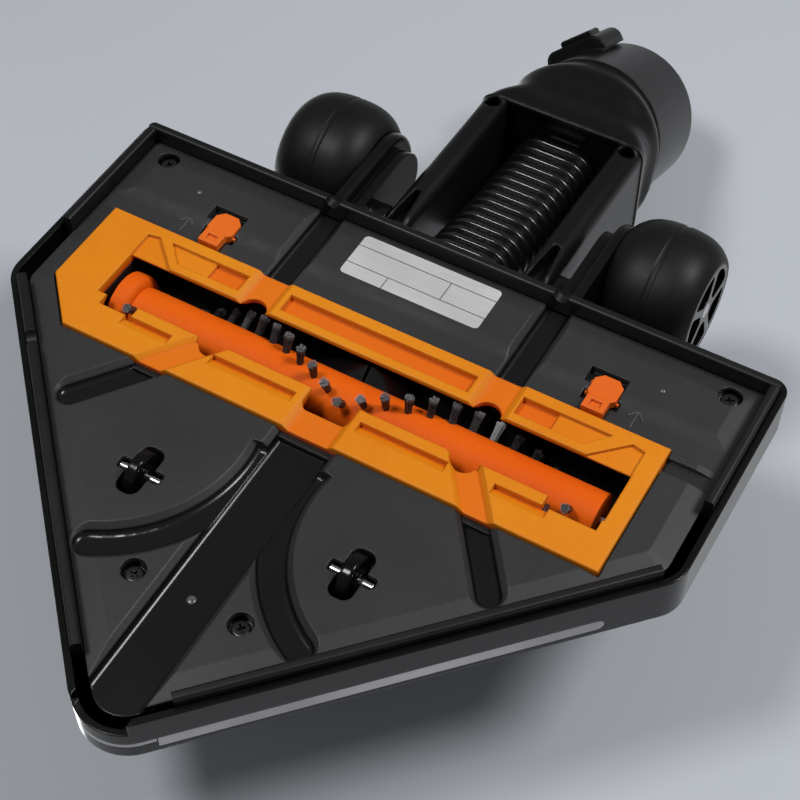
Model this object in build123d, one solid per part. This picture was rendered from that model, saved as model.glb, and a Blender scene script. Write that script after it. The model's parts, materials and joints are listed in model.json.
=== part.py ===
from build123d import *

import os
from math import asin, atan2, cos, degrees, hypot, radians, sin, tan

# Powered delta floor head of a stick vacuum cleaner, standing on its wheels.
# X runs across the head, Y from the tip to the neck, Z up from the floor.
# While it is built, Y is counted from the line of the two rear sole screws.

# Head outline, a delta with a square rear
head_width = 270.0
head_rear = 14.0
wing_y = -78.0
apex_y = -220.2
rear_radius = 6.0
wing_radius = 14.0
tip_radius = 18.0
least_radius = 2.0

# Top shell
wall = 2.4
rim_z = 5.0
skirt_top = 24.0
roof_z = 52.0
roof_inset = 22.0
roof_rear_inset = 2.0
roof_radius = 5.0
post_radius = 4.2

# Sole plate
sole_z = 6.0
sole_thick = 3.0
bevel_width = 8.0
bevel_rise = 1.6
groove_wall = 1.8
band_rise = 1.2
groove_lip = 2.0
groove_round = 2.4
band_front_y = -24.0
band_rear_y = -17.0
channel_width = 21.0
channel_depth = 5.0
arc_centre_share = 0.489
arc_centre_y = -107.0
arc_radius_share = 0.428
arc_width = 10.4
arc_depth = 4.0
arc_end_angle = 244.0
slant_depth = 4.0
slant_near_margin = 71.6
slant_near_y = -86.0
slant_far_margin = 52.0
slant_far_y = -112.0
slant_width = 9.0
rear_groove_x = 48.0
rear_groove_width = 10.0
rear_groove_depth = 4.0
end_groove_y = -38.0
end_groove_width = 6.0
end_groove_depth = 2.0

# Sole screws
rear_screw_margin = 17.0
front_screw_x = 20.6
front_screw_y = -161.0
screw_head_radius = 3.4
screw_head_height = 2.4
screw_shank_radius = 1.6
screw_length = 14.0
counterbore_radius = 4.4
counterbore_depth = 5.0
boss_radius = 6.2
boss_floor = 2.0

# Rubber lips between the sole and the shell
lip_gap = 0.3
lip_thick = 3.6
lip_low = 1.0
lip_high = 9.6
lip_round = 1.2
side_lip_length = 56.0
front_lip_stop = 31.0
lip_notch_radius = 3.0
front_notch_place = 37.0

# Light strip in the front walls
lens_low = 16.6
lens_high = 21.6
lens_start = 28.0
lens_stop = 24.0
lens_thick = 2.2
lens_gap = 0.15
trim_height = 1.8
trim_gap = 0.2
trim_reach = 8.0
board_thick = 1.2
board_margin = 2.0

# Brush roller
roller_y = -59.5
roller_z = 21.5
core_radius = 10.0
tuft_reach = 17.6
roller_margin = 37.0
end_lobe_radius = 13.6
end_lobe_length = 7.0
tuft_pitch = 7.4
tuft_radius = 1.4
tuft_root = 8.5
chevron_turn = 196.0
chevron_angle = 34.0
blade_reach = 16.4
blade_root = 9.4
blade_thick = 1.4
blade_steps = 8
axle_radius = 2.5
bearing_radius = 6.0
bearing_length = 4.0
run_gap = 0.05
seat_gap = 0.02
body_gap = 0.3

# Brush tunnel over the roller, with the duct to the hose
tunnel_gap = 3.0
tunnel_wall = 2.0
tunnel_right_gap = 6.0
tunnel_left_gap = 3.0
flange_thick = 2.0
flange_overlap = 1.5
duct_width = 40.0
duct_height = 26.0
duct_radius = 10.0
duct_end_y = 4.0
port_depth = 4.0

# Removable brush cover
cover_right_rim = 6.0
cover_left_rim = 19.0
cover_rear = -32.0
cover_front = -88.5
cover_chamfer_x = 17.0
cover_chamfer_y = 18.5
cover_gap = 0.5
cover_proud = 1.4
cover_round = 0.7
cover_seat = 0.2
window_rear = -48.3
window_front = -69.5
window_rim = 1.0
sweep_gap = 1.1
saddle_depth = 2.2
saddle_spread = 2.6
saddle_notch_radius = 5.2
middle_notch_half = 9.6
middle_notch_depth = 8.4
middle_notch_round = 3.0
pocket_depth = 2.6
pocket_shallow = 1.3
rear_pocket_y = (-36.8, -44.8)
rear_pocket_half = 38.5
rear_pocket_inner = 56.5
rear_pocket_step = 14.0
rear_pocket_outer = 34.0
rear_pocket_lean = 7.5
front_pocket_y = (-74.2, -79.0)
front_pocket_inner = (13.0, 47.4)
front_pocket_outer = (65.0, 85.3)
end_notch_left = (18.0, 4.0)
end_notch_right = (20.5, 0.5)
end_notch_depth = 5.0
facet_length = 17.0
facet_lean = 12.0
facet_width = 7.2
facet_rise = 4.4
facet_rim = 1.0

# Cover latches
latch_margin = 55.7
latch_y = -19.4
latch_width = 11.0
latch_length = 11.4
latch_corner = 2.6
latch_proud = 0.6
latch_height = 3.2
latch_travel = 2.0
latch_gap = 0.3
latch_wing = 1.3
latch_wing_height = 1.4
latch_notch = (3.0, 7.0)
tongue_width = 8.4
tongue_gap = 0.8
tongue_height = 1.4
tongue_overlap = 0.6
tongue_recess = (4.2, 2.4, 1.0)

# Small front wheels under the sole
front_wheel_x = 41.5
front_wheel_y = -127.6
front_wheel_radius = 8.5
front_tread_width = 4.2
front_wheel_width = 7.0
front_hub_radius = 4.4
front_tread_round = 0.9
front_axle_radius = 1.6
front_axle_length = 16.6
axle_chamfer = 0.4
slot_width = 9.0
slot_length = 20.6
slot_round = 3.6
slot_headroom = 1.0
axle_slot_length = 17.6
axle_slot_width = 4.8
axle_slot_round = 1.4

# Rear wheels on their arms
rear_wheel_x = 71.5
rear_wheel_y = 49.8
rear_wheel_radius = 27.0
rear_wheel_width = 36.4
rear_edge_radius = 20.2
shoulder_share = 0.7
shoulder_drop = 2.1
crease_round = 3.0
crease_drop = 0.35
hub_radius = 18.8
hub_face = 2.4
hub_rim = 1.8
hub_boss_radius = 5.6
hub_spokes = 5
spoke_width = 3.2
window_round = 2.0
rear_axle_radius = 3.0
guard_radius = 19.4
guard_thick = 4.8
guard_gap = 0.6
step_radius = 14.0
step_thick = 5.0

# Neck yoke and its pivot
pivot_y = 28.0
pivot_z = 28.0
knuckle_radius = 13.0
pivot_boss_radius = 9.0
pivot_pin_radius = 4.0
pin_inset = 1.5
rail_outer = 36.0
rail_inner = 24.5
neck_end_y = 107.0
neck_low = 18.0
neck_high = 73.0
web_start_y = 64.0
web_thick = 2.5
rail_round = 6.0
rail_inner_round = 4.0
pocket_y = 103.4
pocket_radius = 3.4
pocket_reach = 14.0
arch_length = 26.0
arch_wide = 4.4
arch_narrow = 1.6
arch_depth = 8.0
funnel_step = 0.5
funnel_dips = ((0.0, 0.0), (0.12, 0.3), (0.25, 0.9), (0.42, 1.9), (0.62, 0.2), (0.82, -0.6))
round_share = 0.999
bulkhead_y = 109.0
bulkhead_thick = 3.0

# Swivel collar, whose axis leans back from the floor
seam_y = 132.0
seam_z = 48.0
lean = 26.0
seam_radius = 33.5
collar_radius = 31.8
collar_length = 48.0
collar_wall = 2.6
collar_floor = 6.0
collar_turn = 140.0
bore_radius = 22.8
bore_length = 46.0
spigot_radius = 24.4
spigot_length = 7.5
seat_length = 5.0
ring_radius = 25.2
ring_gap = 1.6
ring_thick = 1.8
housing_width = 28.0
housing_length = 22.0
housing_end_gap = 2.0
housing_round = 5.0
button_width = 15.0
button_length = 10.0
button_proud = 2.4
button_travel = 1.8
button_depth = 4.6
button_chamfer = 0.8
contact_width = 12.0
contact_height = 3.6
contact_length = 14.0
contact_radius = 1.0
contact_spread = 6.0
contact_reach = 1.0
contact_root = 9.0

# Corrugated hose between the head and the neck
hose_width = 37.0
hose_height = 27.0
hose_radius = 13.0
hose_valley = 2.4
hose_wall = 1.6
hose_start = (16.0, 28.4)
hose_end = (116.0, 44.0)
hose_rings = 15
hose_ridge_share = 0.55
hose_cuff = 5.0
hose_seat_length = 2.0

# Drive motor, pulleys and belt
motor_y = -13.0
motor_z = 27.5
motor_radius = 13.0
motor_length = 46.0
motor_gap = 10.0
motor_round = 2.0
bracket_thick = 2.5
bracket_rim = 1.0
motor_shaft_radius = 1.6
motor_shaft_root = 10.0
shaft_tail = 2.0
belt_width = 7.0
pulley_flange = 1.0
pulley_side_gap = 0.2
pulley_gap = 1.8
belt_thick = 1.5
belt_gap = 0.15
roller_pulley_radius = 9.0
motor_pulley_radius = 5.0

# How far a cut runs past the faces that it opens
overcut = 1.0

# Worked out from the dimensions above
head_half = head_width / 2
front_angle = atan2(head_half, wing_y - apex_y)
front_length = hypot(head_half, wing_y - apex_y)
tip_y = apex_y + tip_radius * (1 / sin(front_angle) - 1)
lean_cos = cos(radians(lean))
lean_sin = sin(radians(lean))
turn_cos = cos(radians(collar_turn))
turn_sin = sin(radians(collar_turn))
collar_end_y = seam_y + collar_length * lean_cos + collar_radius * lean_sin
mid_y = (tip_y + collar_end_y) / 2
sole_top = sole_z + sole_thick
sole_inset = wall + lip_thick + 2 * lip_gap
rear_screw_x = head_half - rear_screw_margin
arc_centre_x = arc_centre_share * head_half
arc_radius = arc_radius_share * head_half
slant_near = (head_half - slant_near_margin, slant_near_y)
slant_far = (head_half - slant_far_margin, slant_far_y)
latch_x = head_half - latch_margin
roller_half = head_half - roller_margin
chevron_twist = chevron_turn / roller_half
tunnel_right = -roller_half - tunnel_right_gap
tunnel_left = roller_half + tunnel_left_gap
cover_right = tunnel_right - cover_right_rim
cover_left = tunnel_left + cover_left_rim
window_right = tunnel_right + window_rim
window_left = tunnel_left
cover_low = sole_z - cover_proud
cover_high = sole_top - cover_seat
tunnel_inner = tuft_reach + tunnel_gap
tunnel_outer = tunnel_inner + tunnel_wall
pulley_half = belt_width / 2 + pulley_side_gap + pulley_flange
belt_x = tunnel_left + bearing_length + pulley_gap + pulley_half
motor_left = belt_x - pulley_half - motor_gap - bracket_thick
motor_right = motor_left - motor_length
housing_reach = seam_radius + button_depth
housing_stop = collar_length - housing_end_gap
housing_start = housing_stop - housing_length
button_reach = housing_reach + button_proud
front_edge = Plane(
    origin=(head_half, wing_y, 0),
    x_dir=(-sin(front_angle), -cos(front_angle), 0),
    z_dir=(0, 0, 1),
)
collar_axis = Plane(
    origin=(0, seam_y, seam_z),
    x_dir=(1, 0, 0),
    z_dir=(0, lean_cos, lean_sin),
)
collar_frame = Plane(
    origin=collar_axis.origin,
    x_dir=(turn_cos, turn_sin * lean_sin, -turn_sin * lean_cos),
    z_dir=collar_axis.z_dir,
)


def polygon(*points):
    return make_face(Polyline(*points, close=True))


def prism(face, low, high):
    return extrude(Pos(0, 0, low) * face, amount=high - low)


def side_prism(face, low_x, high_x):
    return extrude(Plane.YZ.offset(low_x) * face, amount=high_x - low_x)


def block(low, high):
    size = [b - a for a, b in zip(low, high)]
    middle = [(a + b) / 2 for a, b in zip(low, high)]
    return Pos(*middle) * Box(*size)


def rod_x(radius, low_x, high_x, y, z):
    return Pos((low_x + high_x) / 2, y, z) * Rot(0, 90, 0) * Cylinder(radius, high_x - low_x)


def rod_z(radius, x, y, low_z, high_z):
    return Pos(x, y, (low_z + high_z) / 2) * Cylinder(radius, high_z - low_z)


def other_side(shape):
    return mirror(shape, about=Plane.YZ)


def group(shapes):
    return Compound([shape.solid() for shape in shapes])


def delta_face(inset, rear_inset=None, least=least_radius):
    rear = head_rear - (inset if rear_inset is None else rear_inset)
    half = head_half - inset
    apex = apex_y + inset / sin(front_angle)
    wing = apex + half / tan(front_angle)
    corners = [(half, rear), (-half, rear), (-half, wing), (0, apex), (half, wing)]
    wanted = [rear_radius, rear_radius, wing_radius, tip_radius, wing_radius]
    radii = [max(radius - inset, least) for radius in wanted]
    return make_face(FilletPolyline(*corners, radius=radii, close=True))


def edge_block(start, stop, near, far, low, high):
    # A block along the left front edge, from near to far inside the outline.
    return front_edge * block((start, -far, low), (stop, -near, high))


# Top shell: a skirt with a roof that draws in, screw posts inside

def shell_form(inset, low, high):
    skirt = prism(delta_face(inset), low, skirt_top)
    foot = Pos(0, 0, skirt_top) * delta_face(inset)
    crown = Pos(0, 0, high) * delta_face(inset + roof_inset, inset + roof_rear_inset, 2 * roof_radius)
    return skirt + loft([foot, crown], ruled=True)


def lens_form(gap, near, far):
    middle = (lens_low + lens_high) / 2
    half = (lens_high - lens_low) / 2 + gap
    bar = edge_block(lens_start, front_length - lens_stop + gap, near, far, middle - half, middle + half)
    end = Pos(lens_start, -(near + far) / 2, middle) * Rot(90, 0, 0) * Cylinder(half, far - near)
    return bar + front_edge * end


def tip_zone(margin):
    reach = front_length - lens_stop + lens_gap + margin
    left = edge_block(reach, front_length + wall, -wall, trim_reach, 0, roof_z)
    return left + other_side(left)


def trim_form(gap, near, far):
    ring = prism(delta_face(near), lens_low - gap, lens_low + trim_height + gap)
    ring -= prism(delta_face(far), 0, roof_z)
    return ring & tip_zone(trim_gap - gap)


def screw_places():
    rear = [(side * rear_screw_x, 0) for side in (1, -1)]
    front = [(side * front_screw_x, front_screw_y) for side in (1, -1)]
    return rear + front


def make_top_shell():
    outer = shell_form(0, rim_z, roof_z)
    outer = fillet(outer.edges().group_by(Axis.Z)[-1], roof_radius)
    shell = outer - shell_form(wall, rim_z - overcut, roof_z - wall)
    post_low = sole_z + counterbore_depth + boss_floor
    for x, y in screw_places():
        shell += rod_z(post_radius, x, y, post_low, roof_z) & outer
    for x, y in screw_places():
        shell -= rod_z(screw_shank_radius + seat_gap, x, y, post_low - overcut, post_low + screw_length)
    slot = lens_form(lens_gap, -overcut, wall + overcut)
    shell -= slot
    shell -= other_side(slot)
    shell -= trim_form(lens_gap, -overcut, lens_thick)
    shell -= block(
        (-channel_width / 2, tip_y - overcut, rim_z - overcut),
        (channel_width / 2, tip_y + tip_radius, sole_z + channel_depth),
    )
    port = duct_section(-body_gap)
    port_plane = Plane((0, head_rear + overcut, hose_start[1]), (1, 0, 0), (0, -1, 0))
    shell -= extrude(port_plane * port, amount=wall + port_depth)
    return shell


# Sole plate: a bevelled slab with the air grooves pressed up into it

def arc_band(width):
    outer = arc_radius + width / 2
    inner = arc_radius - width / 2
    ring = Circle(outer) - Circle(inner)
    start = 180 - degrees(atan2(channel_width / 2, arc_radius))
    reach = 2 * outer
    wedge = polygon(
        (0, 0),
        (reach * cos(radians(start)), reach * sin(radians(start))),
        (-reach, -reach / 2),
        (reach * cos(radians(arc_end_angle)), reach * sin(radians(arc_end_angle))),
    )
    end = Circle(width / 2)
    end = Pos(arc_radius * cos(radians(arc_end_angle)), arc_radius * sin(radians(arc_end_angle))) * end
    return Pos(arc_centre_x, arc_centre_y) * ((ring & wedge) + end)


def run_band(start, stop, width):
    length = hypot(stop[0] - start[0], stop[1] - start[1])
    angle = degrees(atan2(stop[1] - start[1], stop[0] - start[0]))
    middle = ((start[0] + stop[0]) / 2, (start[1] + stop[1]) / 2)
    return Pos(*middle) * Rot(0, 0, angle) * SlotCenterToCenter(length, width)


def channel_face(width, rear):
    return Pos(0, (rear + tip_y - tip_radius) / 2) * Rectangle(width, rear - tip_y + tip_radius)


def slant_x(y):
    share = (y - slant_near[1]) / (slant_far[1] - slant_near[1])
    return slant_near[0] + share * (slant_far[0] - slant_near[0])


def groove_faces(extra):
    # The grooves on the left half; extra widens them into their lips or walls.
    rear_start = (rear_groove_x, cover_rear - flange_overlap)
    rear_stop = (rear_groove_x, head_rear)
    return [
        arc_band(arc_width + 2 * extra),
        run_band(slant_near, slant_far, slant_width + 2 * extra),
        run_band(rear_start, rear_stop, rear_groove_width + 2 * extra),
    ]


def groove_depths():
    return [arc_depth, slant_depth, rear_groove_depth]


def groove_cut(narrow, wide, depth):
    # A trough with a rounded roof and a lip that opens at the sole.
    trough = prism(narrow, 0, sole_z + depth)
    trough = fillet(trough.edges().group_by(Axis.Z)[-1], groove_round)
    mouth = Pos(0, 0, sole_z) * wide.face()
    throat = Pos(0, 0, sole_z + groove_lip) * narrow.face()
    return trough + loft([mouth, throat], ruled=True)


def cover_face(gap):
    left = cover_left + gap
    right = cover_right - gap
    rear = cover_rear + gap
    front = cover_front - gap
    return polygon(
        (right, rear),
        (left, rear),
        (left, front + cover_chamfer_y),
        (left - cover_chamfer_x, front),
        (right, front),
    )


def latch_pocket(x):
    # The notch is at the same corner of both pockets, as the two latches are one part used twice.
    low = sole_z - overcut
    half = latch_width / 2 + latch_gap
    front = latch_y - latch_length / 2 - latch_gap
    rear = latch_y + latch_length / 2 + latch_travel + latch_gap
    wing_low = sole_z - latch_proud + latch_height - latch_wing_height - latch_gap
    roof = sole_z - latch_proud + latch_height + latch_gap
    pocket = block((x - half, front, low), (x + half, rear, roof))
    groove = half + latch_wing
    pocket += block((x - groove, front, wing_low), (x + groove, rear, roof))
    slot = tongue_width / 2 + latch_gap
    pocket += block((x - slot, cover_rear - overcut, low), (x + slot, latch_y, roof))
    wide, deep = latch_notch
    return pocket + block((x + half, rear - deep, low), (x + half + wide, rear, roof))


def latch_housing(x):
    half = latch_width / 2 + latch_gap + max(latch_wing, latch_notch[0]) + groove_wall
    front = cover_rear + flange_overlap + cover_gap + body_gap
    rear = latch_y + latch_length / 2 + latch_travel + latch_gap + groove_wall
    roof = sole_z - latch_proud + latch_height + latch_gap + groove_wall
    return block((x - half, front, sole_top), (x + half, rear, roof))


def wheel_well(extra):
    face = RectangleRounded(slot_width + 2 * extra, slot_length + 2 * extra, slot_round + extra)
    top = 2 * front_wheel_radius + slot_headroom + extra
    low = sole_top if extra else 0
    return prism(Pos(front_wheel_x, front_wheel_y) * face, low, top)


def axle_slot(extra):
    face = RectangleRounded(axle_slot_length + 2 * extra, axle_slot_width + 2 * extra, axle_slot_round + extra)
    top = front_wheel_radius + front_axle_radius + run_gap + extra
    low = sole_top if extra else 0
    return prism(Pos(front_wheel_x, front_wheel_y) * face, low, top)


def make_sole_plate():
    low_face = Pos(0, 0, sole_z) * delta_face(sole_inset + bevel_width)
    edge_face = Pos(0, 0, sole_z + bevel_rise) * delta_face(sole_inset)
    sole = loft([low_face, edge_face], ruled=True)
    sole += prism(delta_face(sole_inset), sole_z + bevel_rise, sole_top)
    inside = prism(delta_face(sole_inset), sole_z, roof_z)

    # Walls and roofs of everything that is pressed up into the plate
    channel_front = cover_front - cover_gap - flange_overlap - body_gap
    sole += prism(channel_face(channel_width + 2 * groove_wall, channel_front), sole_top,
                  sole_z + channel_depth + groove_wall) & inside
    for face, depth in zip(groove_faces(groove_wall), groove_depths()):
        wall_form = prism(face, sole_top, sole_z + depth + groove_wall) & inside
        wall_form -= prism(cover_face(cover_gap + flange_overlap + body_gap), 0, roof_z)
        sole += wall_form
        sole += other_side(wall_form)
    for form in (wheel_well(groove_wall), axle_slot(groove_wall)):
        sole += form
        sole += other_side(form)
    for x in (latch_x, -latch_x):
        sole += latch_housing(x)
    boss_top = sole_z + counterbore_depth + boss_floor
    for x, y in screw_places():
        sole += rod_z(boss_radius, x, y, sole_top, boss_top) & inside

    # The soft step across the rear field, then every opening
    step_top = sole_z + band_rise
    band = make_face([
        Spline((band_front_y, step_top), (band_rear_y, sole_z), tangents=((1, 0), (1, 0))),
        Polyline((band_rear_y, sole_z), (band_rear_y, 0), (cover_rear, 0), (cover_rear, step_top),
                 (band_front_y, step_top)),
    ])
    sole -= side_prism(band, -head_half, head_half)
    channel = channel_face(channel_width, cover_front)
    sole -= groove_cut(channel, channel_face(channel_width + 2 * groove_lip, cover_front), channel_depth)
    for narrow, wide, depth in zip(groove_faces(0), groove_faces(groove_lip), groove_depths()):
        cut = groove_cut(narrow, wide, depth)
        sole -= cut
        sole -= other_side(cut)
    end_cut = block(
        (-head_half, end_groove_y - end_groove_width / 2, 0),
        (cover_right, end_groove_y + end_groove_width / 2, sole_z + end_groove_depth),
    )
    sole -= end_cut
    for cut in (wheel_well(0), axle_slot(0)):
        sole -= cut
        sole -= other_side(cut)
    for x in (latch_x, -latch_x):
        sole -= latch_pocket(x)
    for x, y in screw_places():
        sole -= rod_z(counterbore_radius, x, y, 0, sole_z + counterbore_depth)
        sole -= rod_z(screw_shank_radius + 2 * body_gap, x, y, 0, roof_z)
    sole -= prism(cover_face(cover_gap), 0, roof_z)
    return sole


def make_sole_screws():
    seat = sole_z + counterbore_depth
    screws = []
    for x, y in screw_places():
        head = rod_z(screw_head_radius, x, y, seat - screw_head_height, seat)
        head = fillet(head.edges().group_by(Axis.Z)[0], screw_head_height / 3)
        screws.append(head + rod_z(screw_shank_radius, x, y, seat, seat + screw_length))
    return group(screws)


# Rubber lips, trimmed to the inside of the shell

def lip_bar(length, near, frame):
    far = near + lip_thick
    foot = frame * block((0, -far, lip_low), (length, -near, lip_high))
    return fillet(foot.edges().group_by(Axis.Z)[0].sort_by(SortBy.LENGTH)[-2:], lip_round)


def lip_room():
    return prism(delta_face(wall + lip_gap), 0, roof_z)


def make_rear_lip():
    near = wall + lip_gap
    frame = Plane(origin=(head_half, head_rear, 0), x_dir=(-1, 0, 0), z_dir=(0, 0, 1))
    lip = lip_bar(head_width, -near - lip_thick, frame)
    for side in (1, -1):
        notch = Pos(side * rear_groove_x, head_rear, lip_low)
        lip -= notch * Rot(90, 0, 0) * Cylinder(lip_notch_radius, 4 * lip_thick + 2 * near)
    return lip & lip_room()


def make_side_lip():
    near = wall + lip_gap
    top = head_rear - near - lip_thick
    frame = Plane(origin=(head_half, top, 0), x_dir=(0, -1, 0), z_dir=(0, 0, 1))
    return lip_bar(side_lip_length, near, frame) & lip_room()


def make_front_lip():
    near = wall + lip_gap
    start = wing_radius * tan(front_angle / 2)
    frame = Plane(origin=front_edge.origin + front_edge.x_dir * start, x_dir=front_edge.x_dir, z_dir=(0, 0, 1))
    return lip_bar(front_length - start - front_lip_stop, near, frame) & lip_room()


def front_lip_notch():
    length = 4 * lip_thick + 2 * wall
    place = Pos(front_notch_place, 0, lip_low) * Rot(90, 0, 0)
    return front_edge * (place * Cylinder(lip_notch_radius, length))


# Light strip: lens, trim round the tip and the lamp boards behind

def make_lens():
    return lens_form(0, 0, lens_thick)


def make_tip_trim():
    return trim_form(0, 0, lens_thick - lens_gap)


def make_led_board():
    board = edge_block(lens_start, front_length - lens_stop - tip_radius, wall + seat_gap,
                       wall + seat_gap + board_thick, lens_low - board_margin, lens_high + board_margin)
    return board


# Brush roller

def around_roller(angle):
    # Turns +Z of a piece from straight down towards the tip by the angle, about the roller axis.
    return Pos(0, roller_y, roller_z) * Rot(180 - angle, 0, 0)


def make_roller_core():
    core = rod_x(core_radius, -roller_half, roller_half, roller_y, roller_z)
    lobe = rod_x(end_lobe_radius, roller_half - end_lobe_length, roller_half, roller_y, roller_z)
    lobe = fillet(lobe.edges().filter_by(GeomType.CIRCLE).sort_by(Axis.X)[0], end_lobe_length / 2)
    core += lobe
    reach = roller_half + overcut
    return core - rod_x(axle_radius + seat_gap, -reach, reach, roller_y, roller_z)


def chevron(x):
    return chevron_angle - chevron_twist * abs(x)


def make_tufts():
    count = int((roller_half - end_lobe_length - tuft_radius) / tuft_pitch)
    places = [step * tuft_pitch for step in range(-count, count + 1)]
    tuft = extrude(RegularPolygon(tuft_radius, 6), amount=tuft_reach - tuft_root)
    tufts = []
    for row in (0, 180):
        for x in places:
            tufts.append(Pos(x, 0, 0) * around_roller(chevron(x) + row) * Pos(0, 0, tuft_root) * tuft)
    return group(tufts)


def blade_half(row, side):
    length = (roller_half - end_lobe_length - blade_thick) / blade_steps
    strip = Pos((blade_root + blade_reach) / 2, 0) * Rectangle(blade_reach - blade_root, blade_thick)
    sections = []
    for step in range(blade_steps + 1):
        x = side * (step * length + blade_thick / 2)
        place = Pos(x, 0, 0) * around_roller(chevron(x) + row) * Rot(0, -90, 0)
        sections.append(place * strip)
    return loft(sections, ruled=True)


def make_blades():
    return group([blade_half(270, side) for side in (1, -1)])


def make_roller_axle():
    right = tunnel_right - tunnel_wall - bearing_length
    left = belt_x + pulley_half + shaft_tail
    return rod_x(axle_radius, right, left, roller_y, roller_z)


def bearing_span(side):
    if side > 0:
        return tunnel_left + seat_gap, tunnel_left + bearing_length
    return tunnel_right - bearing_length, tunnel_right - seat_gap


def make_bearing(side):
    low, high = bearing_span(side)
    ring = rod_x(bearing_radius - seat_gap, low, high, roller_y, roller_z)
    return ring - rod_x(axle_radius + run_gap, low - overcut, high + overcut, roller_y, roller_z)


def duct_section(inset):
    return RectangleRounded(duct_width - 2 * inset, duct_height - 2 * inset, duct_radius - inset)


def make_tunnel():
    low = sole_top
    form = rod_x(tunnel_outer, tunnel_right - bearing_length, tunnel_left + bearing_length, roller_y, roller_z)
    form += block((tunnel_right - bearing_length, roller_y - tunnel_outer, low),
                  (tunnel_left + bearing_length, roller_y + tunnel_outer, roller_z))
    form -= block((-head_width, roller_y - 2 * tunnel_outer, -low),
                  (head_width, roller_y + 2 * tunnel_outer, low))
    flange = prism(cover_face(cover_gap + flange_overlap), low, low + flange_thick)
    duct_plane = Plane((0, roller_y, hose_start[1]), (1, 0, 0), (0, 1, 0))
    form += flange
    form += extrude(duct_plane * duct_section(0), amount=duct_end_y - roller_y)
    hollow = rod_x(tunnel_inner, tunnel_right, tunnel_left, roller_y, roller_z)
    hollow += block((tunnel_right, roller_y - tunnel_inner, 0),
                    (tunnel_left, roller_y + tunnel_inner, roller_z))
    form -= hollow
    form -= extrude(duct_plane * duct_section(tunnel_wall), amount=duct_end_y - roller_y + overcut)
    for side in (1, -1):
        low_x, high_x = bearing_span(side)
        form -= rod_x(bearing_radius, low_x - overcut, high_x + overcut, roller_y, roller_z)
    pulley_room = roller_pulley_radius + belt_thick + belt_gap + 2 * body_gap
    form -= rod_x(pulley_room, tunnel_left + bearing_length, head_half, roller_y, roller_z)
    return form


# Removable brush cover, a window frame with saddles for the air grooves and moulded pockets

def slanted_pocket(x_pair, y_pair, lean_low, depth):
    rear, front = y_pair
    low_x, high_x = x_pair
    face = polygon((low_x, rear), (high_x, rear), (high_x - lean_low, front), (low_x, front))
    return prism(face, 0, cover_low + depth)


def ramped_pocket(x_pair, y_pair, depth):
    # Deepest along its rear edge, with a floor that runs out to the face at the front.
    rear, front = y_pair
    low_x, high_x = x_pair
    face = polygon((rear, 0), (rear, cover_low + depth), (front, cover_low), (front, 0))
    return side_prism(face, low_x, high_x)


def facet(wide_x, end_x):
    # A shallow recess at the end of the rear bar, open to the window, with a slanting inner edge.
    top = window_rear + facet_width
    face = polygon(
        (wide_x, window_rear), (wide_x + facet_lean, top + facet_rise), (end_x, top + facet_rise - facet_rim),
        (end_x, window_rear),
    )
    return prism(face, 0, cover_low + pocket_shallow)


def saddle(rear, front):
    # A dip across the frame whose flanks slope, from one end of a groove's middle line to the other.
    rear_x, rear_y, rear_half = rear
    front_x, front_y, front_half = front
    levels = []
    for level, spread in ((cover_low, saddle_spread), (cover_low + saddle_depth, 0)):
        face = polygon(
            (rear_x - rear_half - spread, rear_y), (rear_x + rear_half + spread, rear_y),
            (front_x + front_half + spread, front_y), (front_x - front_half - spread, front_y),
        )
        levels.append(Pos(0, 0, level) * face)
    return loft(levels, ruled=True)


def rear_saddle():
    half = rear_groove_width / 2
    dip = saddle((rear_groove_x, cover_rear + overcut, half), (rear_groove_x, window_rear - overcut, half))
    return dip + rod_z(saddle_notch_radius, rear_groove_x, window_rear, 0, sole_top)


def front_saddle():
    half = slant_width / 2
    rear_y = window_front + overcut
    front_y = cover_front - overcut
    dip = saddle((slant_x(rear_y), rear_y, half), (slant_x(front_y), front_y, half))
    return dip + rod_z(saddle_notch_radius, slant_x(window_front), window_front, 0, sole_top)


def middle_saddle():
    half = channel_width / 2 - saddle_spread
    dip = saddle((0, window_front + overcut, half), (0, cover_front - overcut, half))
    notch = RectangleRounded(2 * middle_notch_half, 2 * middle_notch_depth, middle_notch_round)
    return dip + prism(Pos(0, window_front) * notch, 0, sole_top)


def make_cover():
    cover = prism(cover_face(0), cover_low, cover_high)
    cover -= block((window_right, window_front, 0), (window_left, window_rear, sole_top))
    cover = fillet(cover.edges().group_by(Axis.Z)[0], cover_round)
    cover -= rod_x(tuft_reach + sweep_gap, window_right, window_left, roller_y, roller_z)
    outer = (rear_pocket_inner, rear_pocket_inner + rear_pocket_outer)
    deep = (rear_pocket_inner, rear_pocket_inner + rear_pocket_step)
    for cut in (
        rear_saddle(),
        front_saddle(),
        slanted_pocket(outer, rear_pocket_y, rear_pocket_lean, pocket_shallow),
        slanted_pocket(deep, rear_pocket_y, 0, pocket_depth),
        ramped_pocket(front_pocket_inner, front_pocket_y, pocket_depth),
        ramped_pocket(front_pocket_outer, front_pocket_y, pocket_depth),
    ):
        cover -= cut
        cover -= other_side(cut)
    cover -= middle_saddle()
    cover -= slanted_pocket((-rear_pocket_half, rear_pocket_half), rear_pocket_y, 0, pocket_depth)

    # Room for the last tufts, counted inwards from both ends of the window, and the facets of the rear bar
    notch_y = (window_front + end_notch_depth, window_front - end_notch_depth)
    left_x = [window_left - margin for margin in end_notch_left]
    right_x = [-window_right - margin for margin in end_notch_right]
    cover -= slanted_pocket(left_x, notch_y, 0, sole_top)
    cover -= other_side(slanted_pocket(right_x, notch_y, 0, sole_top))
    cover -= facet(window_left - facet_length, window_left)
    return cover - other_side(facet(-window_right - facet_length, -window_right))


# Cover latches: octagonal sliders with a finger tab

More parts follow.
